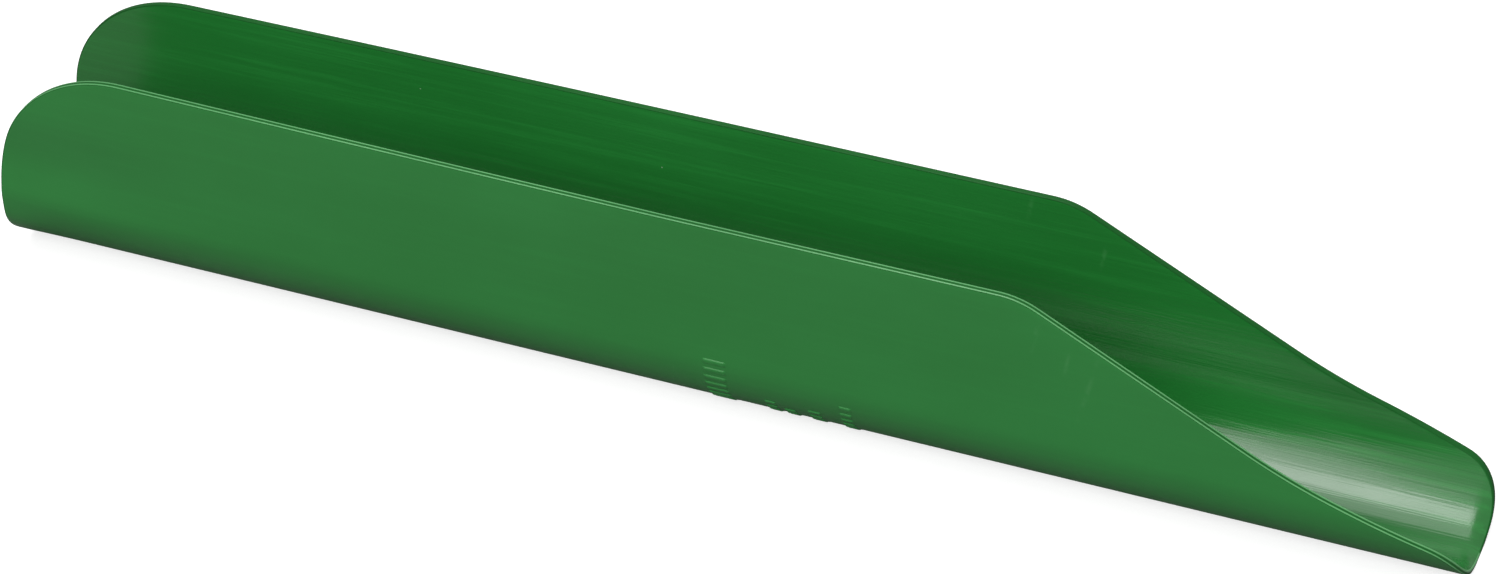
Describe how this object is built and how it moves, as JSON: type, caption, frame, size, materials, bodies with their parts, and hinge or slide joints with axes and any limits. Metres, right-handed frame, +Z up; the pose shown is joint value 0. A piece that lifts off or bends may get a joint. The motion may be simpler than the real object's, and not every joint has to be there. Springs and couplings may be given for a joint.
{
  "type": "straight slide",
  "caption": "Straight U-section moulded slide trough, level along most of its length, with two walls that fall away to a low open lip at one end.",
  "frame": {"origin": "middle of the flat strip along the underside, half way between the feeding end and the lip", "axes": "+X along the trough from the feeding end to the lip, +Y across it, +Z up out of the open top"},
  "size_m": [0.5, 0.0574, 0.0793],
  "materials": {
    "body_plastic": "green, coloured through, satin as moulded, lightly scuffed along the inside",
    "mark_plastic": "the same green plastic, satin as moulded"
  },
  "bodies": {
    "root": {"trough": "body_plastic", "moulded_marks": "mark_plastic"}
  },
  "joints": []
}
